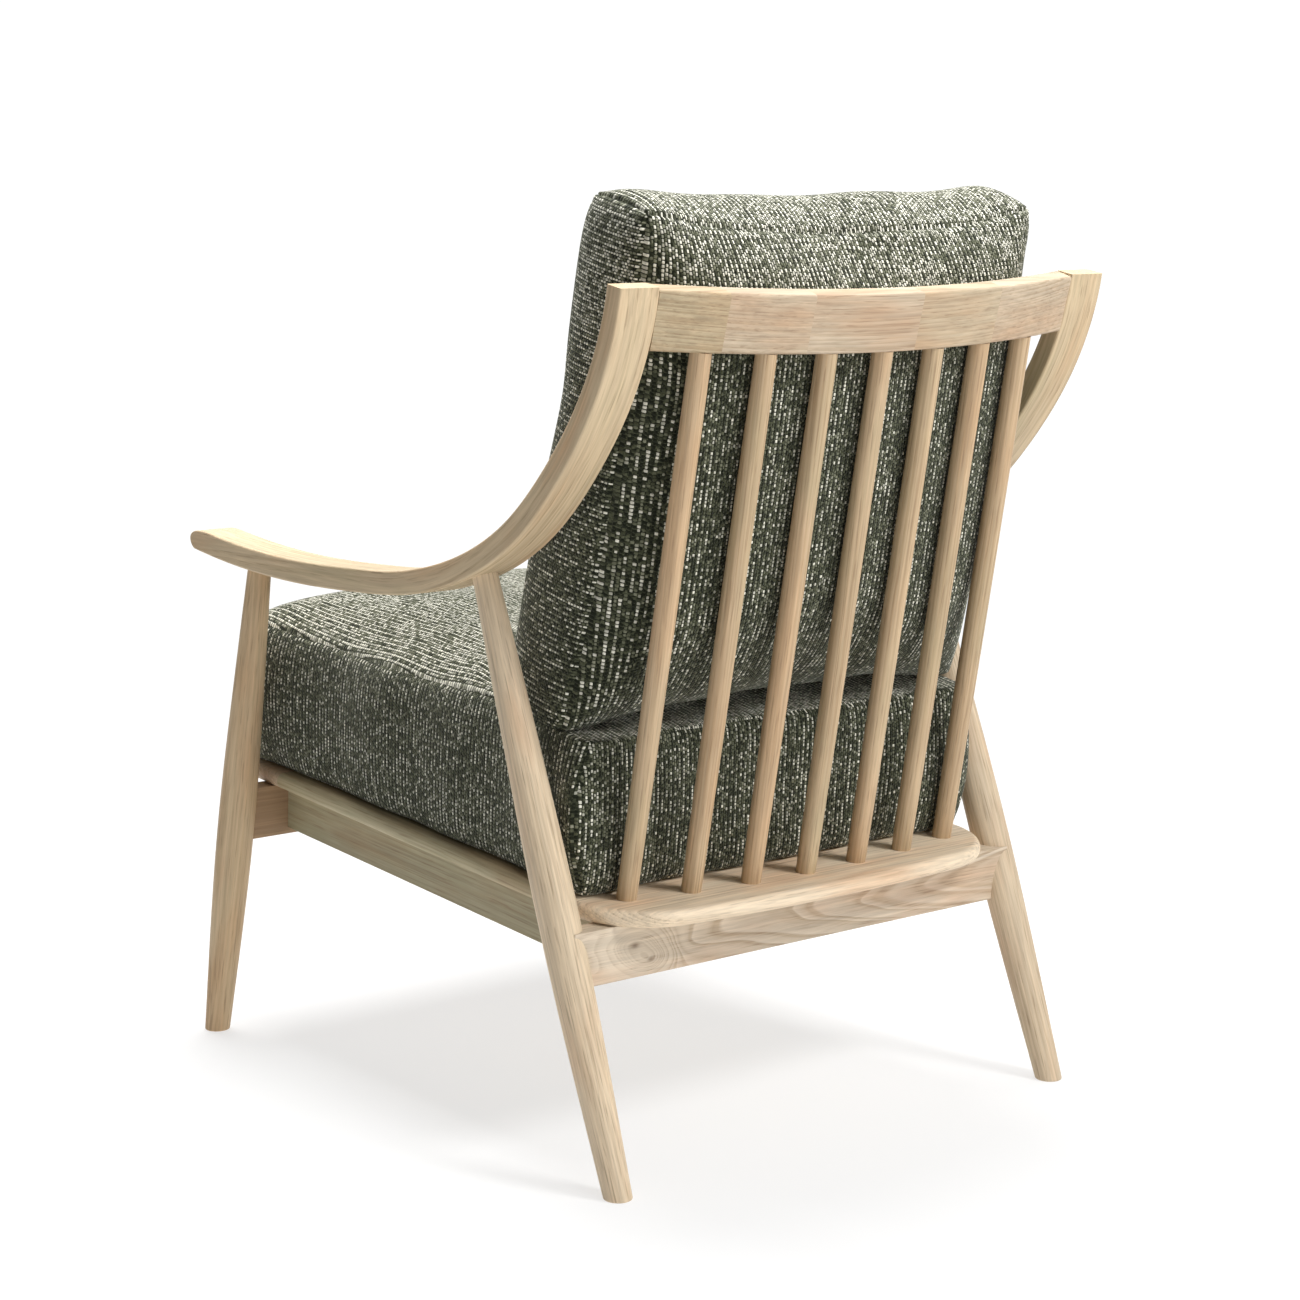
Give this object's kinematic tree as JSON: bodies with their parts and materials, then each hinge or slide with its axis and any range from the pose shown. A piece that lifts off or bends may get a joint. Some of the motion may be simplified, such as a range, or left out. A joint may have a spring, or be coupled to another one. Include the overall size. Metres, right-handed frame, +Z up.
{
  "type": "wooden armchair",
  "caption": "Low easy chair: turned raked legs, arms that sweep up into back posts, bowed crest over a spindle back, loose thick seat and back cushions.",
  "frame": {"origin": "on the floor, under the middle of the chair's outline", "axes": "+Z up, the sitter faces -Y, the sitter's left arm is on the +X side"},
  "size_m": [0.632, 0.7986, 0.9069],
  "materials": {
    "wood": "pale ash, open grain, matte clear oil",
    "slat_wood": "unfinished softwood, planed",
    "dowel_wood": "fluted beech dowel, plain",
    "screw_steel": "zinc plated",
    "glide_plastic": "moulded nylon",
    "upholstery": "heavy olive and charcoal tweed with pale slubs"
  },
  "bodies": {
    "frame": {"front_leg_left": "wood", "front_leg_right": "wood", "rear_leg_left": "wood", "rear_leg_right": "wood", "arm_left": "wood", "arm_right": "wood", "crest_rail": "wood", "front_rail": "wood", "rear_rail": "wood", "side_rail_left": "wood", "side_rail_right": "wood", "front_board": "wood", "rear_board": "wood", "side_board_left": "wood", "side_board_right": "wood", "spindle_1": "wood", "spindle_2": "wood", "spindle_3": "wood", "spindle_4": "wood", "spindle_5": "wood", "spindle_6": "wood", "spindle_7": "wood", "slat_1": "slat_wood", "slat_2": "slat_wood", "slat_3": "slat_wood", "slat_4": "slat_wood", "slat_5": "slat_wood", "slat_6": "slat_wood", "slat_7": "slat_wood", "front_block_left": "slat_wood", "front_block_right": "slat_wood", "rear_block_left": "slat_wood", "rear_block_right": "slat_wood", "rail_dowels": "dowel_wood", "deck_dowels": "dowel_wood", "crest_dowels": "dowel_wood", "slat_screws": "screw_steel", "block_screws": "screw_steel", "foot_glides": "glide_plastic"},
    "seat_cushion": {"seat_cushion": "upholstery"},
    "back_cushion": {"back_cushion": "upholstery"}
  },
  "joints": [
    {"name": "seat_cushion_slide", "type": "slide", "parent": "frame", "child": "seat_cushion", "axis": [0, -0.9977, 0.068], "range_m": [0, 0.66]},
    {"name": "back_cushion_lift", "type": "slide", "parent": "frame", "child": "back_cushion", "axis": [0, 0.1959, 0.9806], "range_m": [0, 0.46]}
  ]
}
